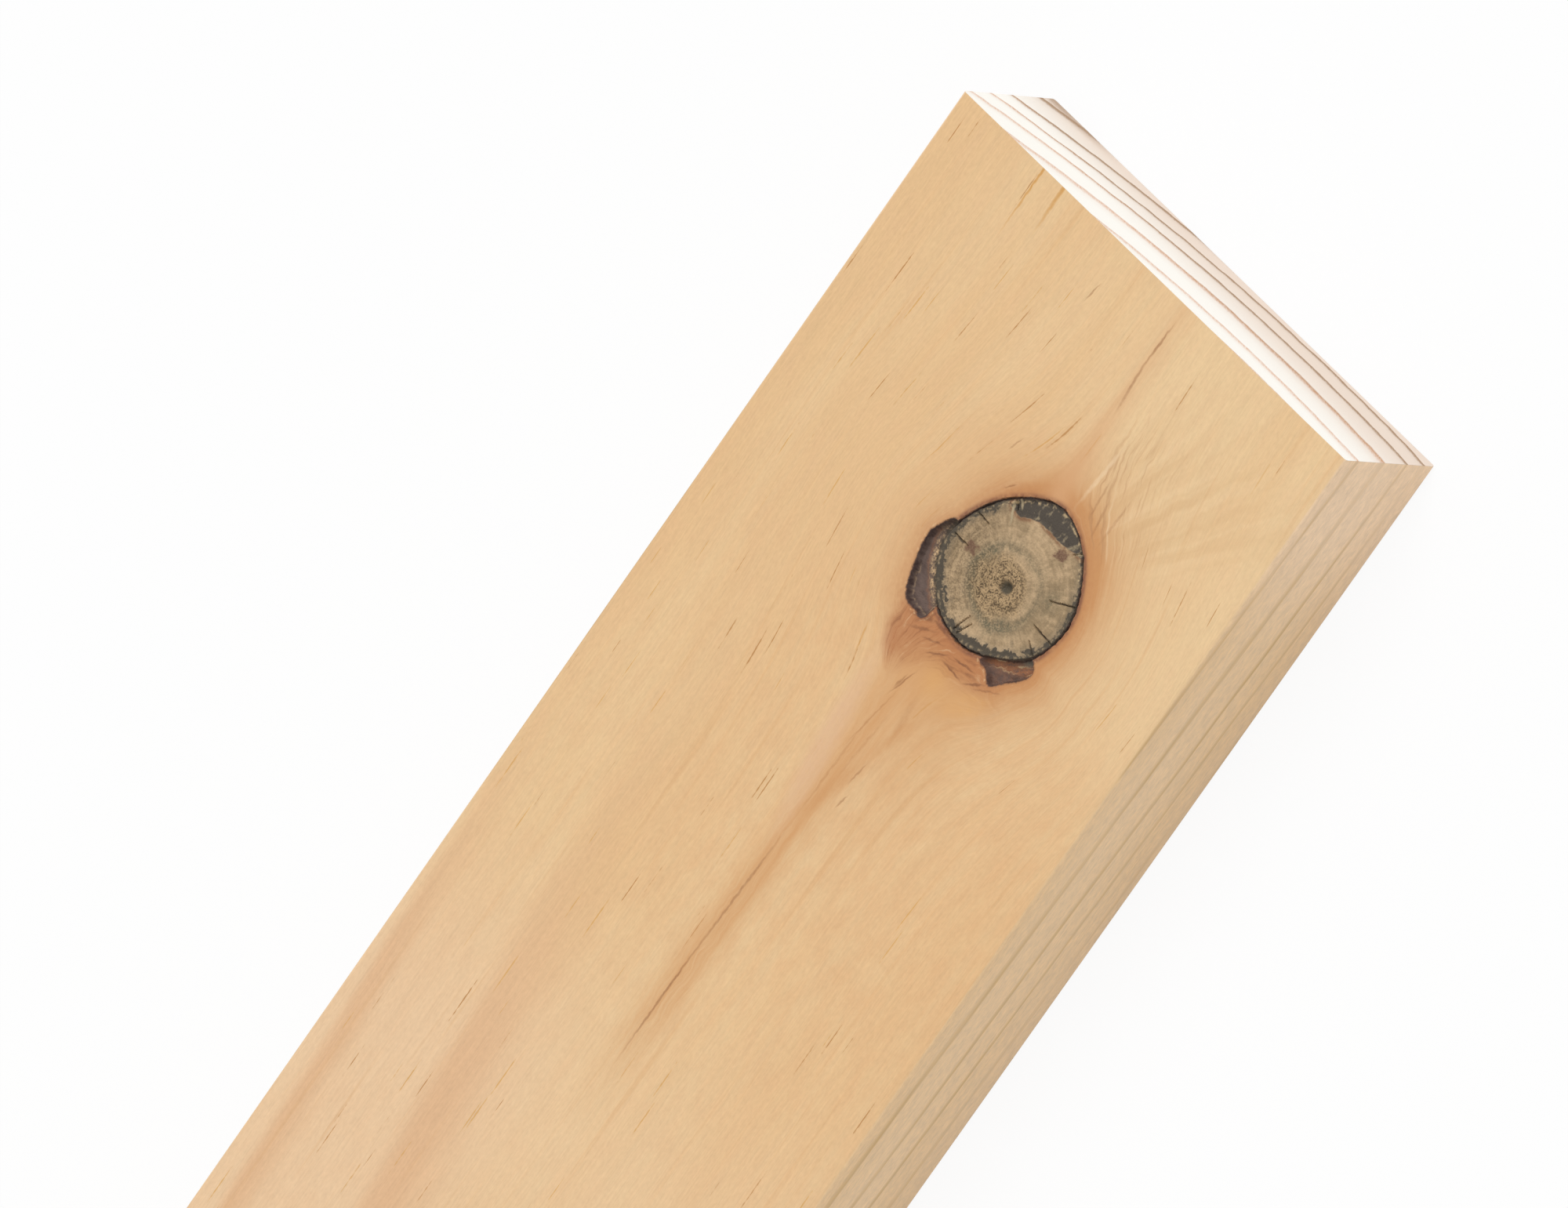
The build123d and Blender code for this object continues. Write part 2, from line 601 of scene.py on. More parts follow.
# %% [markdown]
# ## The finish: places on the wood
# Pine's figure is not painted on its faces: it is where flat faces cut through rings and fibres. So the
# finish is worked out in the solid, from a place's millimetres along, across and up. Near the knot the
# fibres part and flow round it, as water does round a post, so a bent measure across the grain is made
# first, and the rings, streaks and resin canals all follow it.

# %% Measure places along, across and up, and bend the grain round the knot
grain_reach = 9.0
parting_run = 20.0
parting_left = 5.5
parting_right = 0.5
bark_margin = 0.5
end_starts, end_full = 0.06, 0.01
edge_starts, edge_full = 0.5, 0.1

pine = Sheet(bpy.data.materials.new("pine"))
metres = pine.node("ShaderNodeTexCoord", None, None, "Object")
place = pine.scale(metres, 1 / mm)
along, across, up = (pine.node("ShaderNodeSeparateXYZ", None, {0: place}, axis) for axis in "XYZ")
knot_gap, bark_gap, crescent_gap = (
    pine.node("ShaderNodeAttribute", {"attribute_name": name}, None, "Fac") for name in gaps
)

lean_here = (up - top_mm) * (knot_lean / top_mm)
knot_x = along - knot_along - lean_here
knot_y = across - knot_across
parted_at = pine.step(knot_x, -parting_run, parting_run, parting_left, parting_right)
beside = pine.math("MAXIMUM", pine.math("MINIMUM", knot_gap, bark_gap + bark_margin), 0.0)
parting = 1 - pine.fade(beside, grain_reach)
grain = (knot_y - parted_at) * parting + parted_at + knot_across

half_width = size.y / 2 / mm
half_length = size.x / 2 / mm
from_end = half_length - along
on_end = pine.step(abs(along), half_length - end_starts, half_length - end_full)
on_edge = pine.step(abs(across), half_width - edge_starts, half_width - edge_full)
print("grain bends over", grain_reach, "mm round the knot")

# %% [markdown]
# ## Growth rings
# The tree's pith lay above the upper face, so the rings sag through the end like shallow bowls, and the
# faces cut them at a slant. A place's ring is its distance from the pith, which drifts along the board
# because no trunk is straight. Each year starts pale and darkens into a thin band of latewood.

# %% Rings round the pith
pith_across = -22.0
pith_up = 142.0
sway_across = 23.0
sway_up = 21.0
sway_length = 3000.0
wander_depth = 0.7
ripple_depth = 0.5
ring_width = 6.0
ring_start = 122.0
beat_length = 24.0
beat_depth = 0.18
soft_starts, soft_peak = 0.50, 0.82
late_starts, late_peak = 0.74, 0.94


def stretched(run, apart, detail=2.0, roughness=0.5):
    """Noise drawn out along the grain, with a cloud to each run along it and to each gap across it."""
    return pine.noise(pine.vector(along / run, grain / apart, up / apart), detail, roughness)


def latewood(share_of_year, starts, peak):
    """The band that darkens from its start to its peak and ends with the year."""
    return pine.step(share_of_year, starts, peak) * pine.step(share_of_year, peak, 1.0, 1.0, 0.0)


sway = pine.math("SINE", from_end * (2 * math.pi / sway_length))
wander = stretched(260, 60) * wander_depth
ripple = stretched(30, 4, 3.0) * ripple_depth
level_up = up - sway * sway_up - pith_up
level_across = grain - sway * sway_across - pith_across
to_centre = pine.math("SQRT", level_up * level_up + level_across * level_across)
ring = to_centre + wander + ripple - ring_start
beat = pine.math("COSINE", ring * (2 * math.pi / beat_length)) * beat_depth - beat_depth
year = pine.math("FRACT", ring / ring_width + beat + late_peak)
late_soft = latewood(year, soft_starts, soft_peak)
late_thin = latewood(year, late_starts, late_peak)
print("rings", ring_width, "mm apart about a pith", pith_up, "mm up")

# %% [markdown]
# ## The planed wood
# Planed pine is nearly one colour, and its life is in small things: slow drifts of tint, streaks a
# millimetre or two wide, and fibres too fine to count. Noises stretched along the grain give those, each
# at its own scale, and the latewood bands show more towards the plain end than near the knot.

# %% Colour the clear wood
pale_wood = srgb(231, 199, 153)
deep_wood = srgb(226, 188, 140)
blush_wood = srgb(231, 197, 160)
band_wood = srgb(210, 160, 117)
rosy_wood = srgb(226, 183, 141)
warm_wood = srgb(218, 170, 120)
line_wood = srgb(208, 163, 114)
# How far from the knotty end each change of tint starts and is complete
tilt_starts, tilt_full = 110, 40
blush_starts, blush_full = 125, 175
bands_full, bands_faint = 175, 100
warm_starts, warm_full = knot_from_end + 120, knot_from_end + 60
warm_fades, warm_ends = knot_from_end + 25, knot_from_end
tilt_slope = 0.012
rosy_share = 0.26
dark_share = 0.34

drift = stretched(120, 14)
streak = stretched(60, 1.4, 3.0)
cloud = stretched(5, 2.6, 3.0, 0.65)
fibre = stretched(6, 0.25)
fleck = stretched(0.9, 0.5)
end_tilt = across * tilt_slope * pine.step(from_end, tilt_starts, tilt_full)
wood = pine.mix(pine.step(drift + streak * 0.3 + end_tilt, -0.45, 0.45), pale_wood, deep_wood)
blush = pine.step(across, -5.0, 20.0, 0.3, 0.75) * pine.step(from_end, blush_starts, blush_full)
wood = pine.mix(blush, wood, blush_wood)
bands = pine.step(from_end, bands_full, bands_faint, 0.50, 0.06)
wood = pine.mix(late_soft * bands, wood, band_wood)
wood = pine.mix(pine.step(cloud, -0.4, 0.6) * rosy_share, wood, rosy_wood)
warm = pine.step(from_end, warm_starts, warm_full) * pine.step(from_end, warm_ends, warm_fades)
warm = warm * pine.step(across, 24.0, 6.0, 0.3, 1.0)
wood = pine.mix(warm * (0.27 + cloud * 0.4), wood, warm_wood)
wood = pine.mix(pine.step(streak + ripple * 0.4, 0.18, 0.5) * dark_share, wood, line_wood)
wood = pine.scale(wood, streak * 0.05 + fibre * 0.09 + fleck * 0.09 + 1)
print("clear wood", len(pine.tree.nodes), "nodes so far")

# %% [markdown]
# ## Resin canals
# Pine carries resin in fine tubes along the grain. Where the plane slices a tube at a slant it leaves a
# brown dash a few millimetres long and as thin as a hair. Cells stretched along the grain give one dash
# each, and many cells are left empty, most of them on the knot's side of the board.

# %% Scatter the dashes
dash_run = 24.0
dash_apart = 0.82
dash_smallest = 0.09
dash_spread = 0.12
dash_strength = 0.82
canal_brown = srgb(178, 124, 66)
canal_gold = srgb(212, 163, 94)

cells = {"Vector": pine.vector(along / dash_run, grain / dash_apart, up / dash_apart), "Scale": 1.0}
dash_gap = pine.node("ShaderNodeTexVoronoi", None, cells, "Distance")
dash_lots = pine.node("ShaderNodeTexVoronoi", None, cells, "Color")
keep_lot, size_lot, tint_lot = (
    pine.node("ShaderNodeSeparateColor", None, {0: dash_lots}, name) for name in ("Red", "Green", "Blue")
)
dash_size = size_lot * dash_spread + dash_smallest
kept_from = pine.step(across, -20.0, 14.0, 0.62, 0.05)
dash_shape = pine.step(dash_gap / dash_size + fleck * 0.5, 0.4, 1.0, 1.0, 0.0)
dash = dash_shape * pine.step(keep_lot - kept_from, 0.0, 0.02)
wood = pine.mix(dash * dash_strength, wood, pine.mix(tint_lot, canal_brown, canal_gold))
print("canals", dash_run, "by", dash_apart, "mm cells")

# %% [markdown]
# ## Stain round the knot
# Resin from the dying branch soaked into the wood beside it and turned it orange and brown. The stain is
# strongest against the knot and runs off along the grain towards the plain end. It could be a plain ring,
# but real stain follows fibres, so its strength is shaken by noises that run along them.

# %% Soak the wood beside the knot
stain_wood = srgb(204, 150, 98)
halo_reach = 5.0
soak_reach = 16.0

dust = pine.noise(pine.vector(knot_x / 0.85, knot_y / 0.85, 9.0), 3.0)
twist = pine.noise(pine.vector(knot_x / 5, knot_y / 5, 2.0), 2.0)
long_strand = pine.noise(pine.vector(knot_x / 8, (grain + twist * 1.1) / 0.40, up / 3), 2.0)
side_share = pine.step(knot_y, 9.0, -2.0, 0.55, 1.15) + pine.step(knot_x, 0.0, 14.0) * 0.5
soak = pine.fade(beside, soak_reach) * pine.bell(knot_y + 1, 10.0)
soak = soak * pine.step(knot_x, -8.0, -16.0) * pine.step(knot_x, -70.0, -30.0)
halo = pine.math("MAXIMUM", pine.fade(beside, halo_reach) * side_share, soak * 1.2)
halo_strength = 1.1 + long_strand * 0.22 + streak * 0.15 + cloud * 0.2
wood = pine.mix(halo * halo_strength, wood, stain_wood)
print("stain reaches", halo_reach, "mm round the knot and", soak_reach, "mm towards the plain end")

# %% [markdown]
# ## Twisted strands
# Between the two bark pockets the fibres twist: they leave one spot like a fan and bend down beside the
# knot. So their angle about that spot, turned a little more with each millimetre, tells one strand from
# the next, and a noise of that angle paints them rust, dark or pale.

# %% Paint the fan of strands
rust_wood = srgb(180, 119, 76)
strand_wood = srgb(134, 88, 58)
orange_wood = srgb(219, 166, 104)
pale_strand = srgb(238, 208, 168)
twist_spot = (-26.0, 6.5)
strand_turn = 0.054
rim_reach = 1.9

fan_x = knot_x - twist_spot[0]
fan_y = knot_y - twist_spot[1]
fan_run = pine.math("SQRT", fan_x * fan_x + fan_y * fan_y)
fan_turn = pine.math("ARCTAN2", fan_y, fan_x) + fan_run * strand_turn + twist * 0.18
in_fan = pine.step(fan_turn, -0.40, 0.10) * pine.step(fan_turn, 1.35, 0.95)
in_fan = in_fan * pine.step(fan_run, 0.0, 6.0) * pine.step(fan_run, 22.0, 15.0)
in_fan = in_fan * pine.step(knot_x, -8.0, -12.0)
bundle = pine.noise(pine.vector(fan_turn * 12, fan_run / 7, 5.0), 3.0, 0.65) + dust * 0.2
wood = pine.mix(in_fan * (0.86 + bundle * 0.45), wood, rust_wood)
orange = pine.bell(knot_x + 20.8, 3.0) * pine.bell(knot_y - 0.4, 2.6)
wood = pine.mix(orange * 0.6, wood, orange_wood)
wood = pine.mix(pine.fade(beside, rim_reach) * (0.68 + dust * 0.6), wood, rust_wood)
wood = pine.mix(in_fan * pine.step(bundle, 0.0, 0.65) * 0.85, wood, strand_wood)
wood = pine.mix(in_fan * pine.step(bundle, -0.15, -0.55) * 0.36, wood, pale_strand)
print("strands leave", twist_spot, "mm from the knot's middle")

# %% [markdown]
# ## Lines beyond the knot
# On the other side, towards the knotty end, the fibres close up again. Broad soft lines spread like
# spokes towards the near edge, and beside the knot a brush of finer dark and pale strands runs out along
# the grain. The angle about a spot in the knot tells one spoke from the next.

# %% Draw the spokes and the brush
spoke_wood = srgb(210, 170, 122)
brush_wood = srgb(178, 132, 92)

spoke = pine.math("ARCTAN2", knot_y - 1.5, knot_x + 8)
spokes = pine.noise(pine.vector(knot_x / 30, spoke * 20 + twist * 0.6, 3.0), 2.0)
on_spokes = pine.step(knot_x, 12.0, 18.0) * pine.step(knot_y, -3.0, -8.0)
on_spokes = on_spokes * pine.step(spoke, -0.85, -0.6) * pine.step(knot_x, 52.0, 26.0)
wood = pine.mix(on_spokes * pine.step(spokes, -0.4, 0.55) * 0.52, wood, spoke_wood)
wood = pine.mix(on_spokes * pine.step(spokes, -0.1, -0.6) * 0.17, wood, pale_strand)
brush = pine.step(knot_x, 10.0, 14.0) * pine.step(knot_x, 44.0, 16.0)
brush = brush * pine.step(knot_y, 0.0, -4.0) * pine.step(knot_y, -22.0, -8.0)
wood = pine.mix(brush * pine.step(long_strand, 0.05, 0.5) * 0.6, wood, brush_wood)
wood = pine.mix(brush * pine.step(long_strand, -0.1, -0.6) * 0.4, wood, pale_strand)
print("stained wood", len(pine.tree.nodes), "nodes so far")

# %% [markdown]
# ## Soft tails
# A brown tail of pitch runs off from the knot along the grain, towards the plain end, and a thinner one
# towards the knotty end. Each is a bell across a slightly sloping line, faded along it, because a stain
# has no hard sides.

# %% Run the tails out along the grain
tail_wood = srgb(210, 159, 108)
thin_tail_wood = srgb(214, 164, 118)
tail_width = 3.4
thin_tail_width = 2.2

shake = pine.noise(pine.vector(knot_x / 1.1, knot_y / 1.1, 11.0), 1.0)
tail_line = knot_y - 5.3 + (knot_x + 45) * 0.032 + shake * 0.3
tail = pine.bell(tail_line, tail_width)
tail = tail * pine.step(knot_x, -118.0, -84.0) * pine.step(knot_x, -14.0, -24.0)
wood = pine.mix(tail * (0.72 + streak * 0.4 + long_strand * 0.5), wood, tail_wood)
thin_line = knot_y - 0.8 - (knot_x - 14) * 0.03
thin_tail = pine.bell(thin_line, thin_tail_width) * pine.step(knot_x, 11.0, 15.0)
thin_share = pine.step(knot_x, 16.0, 30.0, 0.7, 0.36) + streak * 0.3
wood = pine.mix(thin_tail * thin_share, wood, thin_tail_wood)
print("tails", tail_width, "and", thin_tail_width, "mm wide")

# %% [markdown]
# ## Marks given one by one
# Some marks are this board's own: the long thin pitch line in the tail, its short fellows, and two golden
# streaks at the end. Each is a thin lens between two places: a Mapping node lays a round gradient along it
# and squeezes it flat. The place is shaken a little first, so that no mark looks ruled. The same helper
# draws the strands against the knot and, later, the knot's drying checks.

# %% Draw the pitch lines
pitch_brown = srgb(152, 102, 64)
pitch_tan = srgb(180, 125, 77)
pitch_gold = srgb(204, 148, 72)
pitch_pink = srgb(222, 181, 146)
lens_full = 0.75
# Each row: where the mark starts and ends, in millimetres from the knot's middle, its half width, its
# strength and its colour
marks = [
    ((-104.0, 7.4), (-74.0, 7.1), 0.30, 0.60, pitch_brown),
    ((-84.0, 7.2), (-52.0, 6.2), 0.32, 0.45, pitch_brown),
    ((-62.0, 7.2), (-17.0, 11.6), 3.00, 0.46, pitch_pink),
    ((-55.0, 6.3), (-30.0, 5.7), 0.30, 0.36, pitch_tan),
    ((-40.0, 6.7), (-24.0, 4.1), 0.24, 0.45, pitch_tan),
    ((-46.0, 4.6), (-27.0, 3.0), 0.34, 0.28, pitch_tan),
    ((-47.2, 1.7), (-43.3, 0.9), 0.22, 0.50, pitch_brown),
    ((-43.0, 2.3), (-37.0, 1.3), 0.22, 0.60, pitch_brown),
    ((-28.0, 5.6), (-20.8, 3.4), 0.24, 0.60, pitch_brown),
    ((-35.0, 0.0), (-23.0, 1.2), 1.00, 0.30, pitch_tan),
    ((-27.2, 13.9), (-20.3, 15.4), 0.24, 0.50, pitch_gold),
    ((29.0, 1.2), (42.0, 2.1), 0.40, 0.45, pitch_brown),
    ((38.0, 2.0), (48.5, 1.7), 0.30, 0.55, pitch_brown),
    ((35.4, 35.0), (66.0, 35.0), 0.32, 0.75, pitch_gold),
    ((40.4, 30.2), (62.0, 30.6), 0.52, 0.75, pitch_gold),
    ((39.7, 16.6), (44.4, 15.8), 0.20, 0.55, pitch_brown),
    ((14.0, 12.7), (17.9, 11.3), 0.20, 0.50, pitch_brown),
    ((9.2, 9.6), (11.7, 7.7), 0.20, 0.60, pitch_brown),
    ((12.5, -7.7), (21.0, -6.3), 0.34, 0.34, pitch_brown),
    ((12.0, -9.3), (24.0, -9.6), 0.34, 0.26, pitch_brown),
    ((14.0, -5.5), (24.0, -4.6), 0.30, 0.30, pitch_brown),
    ((13.8, -2.3), (30.0, -3.6), 0.55, 0.50, pale_strand),
    ((-26.5, 5.4), (-22.5, 4.5), 0.30, 0.55, pitch_brown),
    ((-23.0, 8.4), (-18.4, 10.9), 0.60, 0.35, rust_wood),
    ((-25.0, -1.0), (-15.0, -12.0), 3.00, 0.42, orange_wood),
    ((-54.0, 6.6), (-34.0, 0.8), 1.70, 0.46, stain_wood),
    ((-39.0, 2.6), (-24.0, -2.6), 1.60, 0.40, stain_wood),
]
shaken = pine.vector(knot_x + shake * 0.25, knot_y + shake * 0.2, 0.0)


def stroke(start, stop, width):
    """1 along a thin lens between two places, in millimetres from the knot's middle, and 0 off it."""
    run_x, run_y = stop[0] - start[0], stop[1] - start[1]
    lens = {
        "Vector": shaken,
        "Location": ((start[0] + stop[0]) / 2, (start[1] + stop[1]) / 2, 0),
        "Rotation": (0, 0, math.atan2(run_y, run_x)),
        "Scale": (math.hypot(run_x, run_y) / 2, width, 1),
    }
    flat = pine.node("ShaderNodeMapping", {"vector_type": "TEXTURE"}, lens)
    inside = pine.node("ShaderNodeTexGradient", {"gradient_type": "SPHERICAL"}, {"Vector": flat}, "Fac")
    return pine.step(inside, 0.0, lens_full)


for start, stop, width, strength, tint in marks:
    wood = pine.mix(stroke(start, stop, width) * (strength + streak * 0.25 + dust * 0.25), wood, tint)
print(len(marks), "marks drawn by hand")

# %% [markdown]
# ## Strands against the knot
# Where the fibres squeeze past the knot, between its two pockets of bark, single dark strands wrap round
# it. They are needed only close to the knot, so they are drawn on a wood colour of their own, which the
# knot's skin uses further down.

# %% Wrap the dark strands round the knot
# Each row: where the strand starts and ends, its half width and its strength
strands = [
    ((-15.8, 11.2), (-13.4, 5.4), 0.45, 0.50), ((-13.6, 6.8), (-14.0, 1.4), 0.42, 0.75),
    ((-17.8, 10.6), (-14.2, 3.6), 0.40, 0.45), ((-17.2, 7.0), (-15.2, 1.6), 0.32, 0.50),
    ((-18.6, 4.8), (-15.7, 0.0), 0.30, 0.75), ((-15.9, 0.5), (-15.1, -5.4), 0.28, 0.75),
    ((-17.3, 1.4), (-17.8, -3.9), 0.26, 0.75), ((-18.2, -3.4), (-15.0, -7.9), 0.34, 0.70),
    ((-14.6, 9.4), (-13.6, 5.0), 0.70, 0.50), ((-16.6, -1.8), (-15.6, -6.6), 0.40, 0.45),
    ((-17.7, -5.2), (-14.2, -11.0), 0.26, 0.40),
]
near_wood = wood
for start, stop, width, strength in strands:
    near_wood = pine.mix(stroke(start, stop, width) * (strength + dust * 0.5), near_wood, strand_wood)
print(len(strands), "strands wrapped round the knot")

# %% [markdown]
# ## The dead knot's wood
# The branch's own rings show on its face, tan where the wood is sound and grey with rot, with a mossy ring
# and a speckled heart. Distances and directions from the branch's pith place all of these: noises of the
# distance make rings, and noises of the direction make rays.

# %% Colour the wood of the knot
knot_tan = srgb(195, 166, 129)
knot_grey = srgb(149, 126, 95)
knot_moss = srgb(114, 104, 81)
knot_heart = srgb(176, 146, 106)
knot_speck = srgb(76, 61, 42)
# Pale: real flecks on the knot's rim, and painted highlights beside the specks of its heart.
knot_fleck_and_glint = srgb(208, 180, 138)
moss_radius = 6.3
moss_width = 1.15
heart_full, heart_ends = 3.4, 5.6

pith_x = knot_x - float(pith_shift[0])
pith_y = knot_y - float(pith_shift[1])
from_pith = pine.math("SQRT", pith_x * pith_x + pith_y * pith_y + 0.01)
ray_x = pith_x / from_pith
ray_y = pith_y / from_pith
blotch = pine.noise(pine.vector(pith_x / 2.6, pith_y / 2.6, 4.0), 2.0)
fine_rays = pine.noise(pine.vector(ray_x * 16, ray_y * 16, from_pith * 0.5), 2.0)
grit = pine.noise(pine.vector(pith_x / 0.30, pith_y / 0.30, 7.0), 2.0)
knot_rings = pine.noise(pine.vector(from_pith / 0.55 + blotch, ray_x * 0.9, ray_y * 0.9), 2.0)
gritty = grit + dust * 0.6

weathered = blotch + fine_rays * 0.7 + dust * 0.4 + knot_rings * 0.6 + grit * 0.15
weathered = weathered + (abs(pith_y) - 5) * 0.07
knot_face = pine.mix(pine.step(weathered, -0.8, 0.8), knot_tan, knot_grey)
mossy_side = pine.step(pith_y * 0.6 - pith_x * 0.7 + blotch * 4, -5.0, 3.0, 0.35, 0.95)
moss_gap = from_pith + blotch * 1.6 - moss_radius
moss = pine.bell(moss_gap, moss_width) * mossy_side + pine.bell(moss_gap + 0.3, 0.5) * 0.2
moss = moss + pine.bell(knot_x - 1.6, 2.0) * pine.bell(knot_y + 8.4, 1.5) * 0.7
knot_face = pine.mix(moss * (0.78 + gritty * 0.9), knot_face, knot_moss)
heart_gap = from_pith - pith_y * 0.2 + pith_x * 0.15 + dust * 1.2 + blotch * 1.5
heart = pine.step(heart_gap, heart_full, heart_ends, 1.0, 0.0)
speckled = heart * 0.62 + pine.step(pith_y - pith_x * 0.3, 3.0, 8.0) * 0.24 + 0.05
knot_face = pine.mix(heart * 0.65, knot_face, knot_heart)
specks = pine.step(gritty + knot_rings * 0.3, -0.25, 0.4) * speckled * 1.35
knot_face = pine.mix(specks, knot_face, knot_speck)
# Painted highlights: pale glints laid beside the specks of the heart.
knot_face = pine.mix(pine.step(gritty, -0.3, -0.7) * speckled * 1.1, knot_face, knot_fleck_and_glint)
print("knot's pith", pith_shift.tolist(), "mm from its middle")

# %% [markdown]
# ## The knot's rim and its shaded crescent
# The rim is dark where weather got in, with teeth of sound wood between. A crescent of it broke away into
# a shallow hollow, and the hollow's shade is painted in near black, with a brown fringe. Distances from
# the knot's outline and from the crescent place these, and the drying checks are painted where they were
# pressed into the mesh.

# %% Darken the rim and paint the crescent's shade
knot_dark = srgb(74, 67, 57)
knot_ash = srgb(112, 104, 90)
knot_black = srgb(80, 72, 63)
knot_red = srgb(112, 82, 64)
knot_brown = srgb(132, 94, 66)
knot_pale = srgb(178, 160, 128)
crack_dark = srgb(70, 61, 52)
pith_dark = srgb(78, 74, 63)
check_spread = 1.6
scratch_width = 0.32
# Each row: the middle of a red patch and its half sizes
red_patches = [(-1.0, 8.1, 0.9, 1.0), (8.2, -5.2, 0.9, 1.1)]
scratches = [((5.4, 4.6), (10.0, 7.2)), ((8.7, 4.9), (10.7, 6.3)), ((9.5, -6.6), (11.1, -8.4))]

rays = pine.noise(pine.vector(ray_x * 5, ray_y * 5, from_pith * 0.12), 1.0)
chunks = {"Vector": pine.vector(ray_x * 9, ray_y * 9, from_pith / 1.3), "Scale": 1.0}
chunk_lots = pine.node("ShaderNodeTexVoronoi", None, chunks, "Color")
chunk_lot = pine.node("ShaderNodeSeparateColor", None, {0: chunk_lots}, "Red") - 0.5
tooth_reach = pine.step(knot_x, 4.0, -8.0, 0.6, 1.0)
rim_width = 1.15 - knot_x * 0.045 + knot_y * 0.01
ragged_rim = (rays + chunk_lot) * tooth_reach + dust * 0.7 + fine_rays * 0.4 + grit * 0.2
teeth = knot_gap + rim_width + ragged_rim
rim = pine.step(teeth, -0.2, 0.2)
knot_face = pine.mix(pine.step(teeth, -1.6, 0.4) * 0.35, knot_face, knot_ash)
knot_face = pine.mix(rim * (0.95 - pine.step(gritty, 0.3, 0.9) * 0.3), knot_face, knot_dark)
for middle_x, middle_y, half_x, half_y in red_patches:
    away = pine.math("MAXIMUM", abs(knot_x - middle_x) / half_x, abs(knot_y - middle_y) / half_y)
    red_patch = pine.step(away + dust * 1.3 + grit * 0.3, 0.6, 1.3, 1.0, 0.0)
    knot_face = pine.mix(red_patch * (0.88 + grit * 0.6), knot_face, knot_red)
# Painted shade: the crescent hollow is coloured near black, darker in patches; its brown fringe and pale
# flecks are the wood's own colour.
crescent_shade = pine.step(crescent_gap + dust * 0.25, -0.10, 0.12, 1.0, 0.0)
fringe = pine.bell(crescent_gap - 0.25 + dust * 0.3, 0.40) * pine.step(dust + blotch, -0.5, 0.3)
knot_face = pine.mix(fringe * 0.9, knot_face, knot_brown)
knot_face = pine.mix(crescent_shade, knot_face, knot_black)
knot_face = pine.mix(crescent_shade * pine.step(dust + fine_rays, 0.1, 0.7) * 0.6, knot_face, knot_pale)
deepest_crescent_shade = crescent_shade * pine.step(blotch + dust * 0.6 + grit * 0.3, 0.0, 0.6)
knot_face = pine.mix(deepest_crescent_shade * 0.45, knot_face, crack_dark)
for start, stop, half in checks:
    crack = stroke(start, stop, half * check_spread)
    knot_face = pine.mix(crack * (0.75 + dust * 0.4), knot_face, crack_dark)
for start, stop in scratches:
    knot_face = pine.mix(stroke(start, stop, scratch_width) * 0.9, knot_face, knot_pale)
flaked = pine.bell(knot_gap + 0.65 + dust * 0.2, 0.25) * pine.step(dust, -0.1, 0.3)
knot_face = pine.mix(flaked * pine.step(knot_x, 4.0, 8.0, 0.4, 0.85), knot_face, knot_fleck_and_glint)
pith = pine.step(from_pith + gritty * 0.45, 0.7, 1.3, 1.0, 0.0)
knot_face = pine.mix(pith * (0.9 - pine.step(grit, 0.0, 0.5) * 0.5), knot_face, pith_dark)
print(len(checks), "checks and", len(scratches), "scratches on the knot")

# %% [markdown]
# ## Bark
# Bark grown in beside the branch is dark, purplish and layered. The upper pocket has a pale torn crust
# towards the knot, and the lower one reddish flakes and a grey lump. Layers are a noise of the distance
# from the pocket's edge, and the crust and flakes follow the distance from the knot.

# %% Colour the bark
bark_dark = srgb(89, 74, 69)
bark_mid = srgb(112, 93, 84)
bark_red = srgb(158, 104, 70)
bark_crust = srgb(210, 176, 133)
crust_gap = 1.05
crust_width = 0.5

layers = pine.noise(pine.vector((bark_gap + dust * 0.4) / 0.9, knot_x / 7, knot_y / 7), 2.0)
flakes = pine.noise(pine.vector((knot_gap + dust * 0.5) / 0.45, knot_x / 3, knot_y / 3), 1.0)
torn = dust + twist * 0.5 + grit * 0.3
bark_face = pine.mix(pine.step(layers * 0.8 + dust * 0.5, -0.9, 0.7), bark_dark, bark_mid)
bark_face = pine.mix(pine.step(knot_y, -2.0, -4.0) * (0.22 + dust * 0.4), bark_face, bark_red)
low_wedge = knot_gap + dust * 0.6 + knot_y * 0.22
inside_low = pine.step(knot_y, -3.0, -5.0) * pine.step(low_wedge, 0.0, -0.8)
bark_face = pine.mix(inside_low * pine.step(flakes + grit * 0.4, -0.5, 0.1) * 0.85, bark_face, bark_red)
bark_face = pine.mix(inside_low * pine.step(flakes, 0.12, 0.35) * 0.8, bark_face, bark_crust)
lump = pine.bell(knot_x + 7.6, 1.7) * pine.bell(knot_y + 10.4, 1.6)
lump = lump * pine.step(knot_gap + dust, 1.4, 0.6)
bark_face = pine.mix(lump * (1.1 + grit * 0.8), bark_face, knot_ash)
upper = pine.step(knot_y, 0.0, 3.0)
bark_face = pine.mix(upper * pine.step(knot_gap + dust * 0.4, 1.0, 0.5) * 0.85, bark_face, knot_dark)
bark_face = pine.mix(upper * pine.bell(knot_gap - 1.8 + dust * 0.6, 0.3) * 0.3, bark_face, bark_red)
crust = upper * pine.bell(knot_gap - crust_gap + dust * 0.6, crust_width)
crust = crust * pine.step(torn + grit * 0.5, -0.2, 0.4, 0.1, 1.0)
bark_face = pine.mix(crust * pine.step(knot_x, 2.0, -6.0, 0.35, 1.0), bark_face, bark_crust)
outer = upper * pine.bell(bark_gap + 0.42 + dust * 0.5, 0.15) * pine.step(knot_x, -7.0, -11.0)
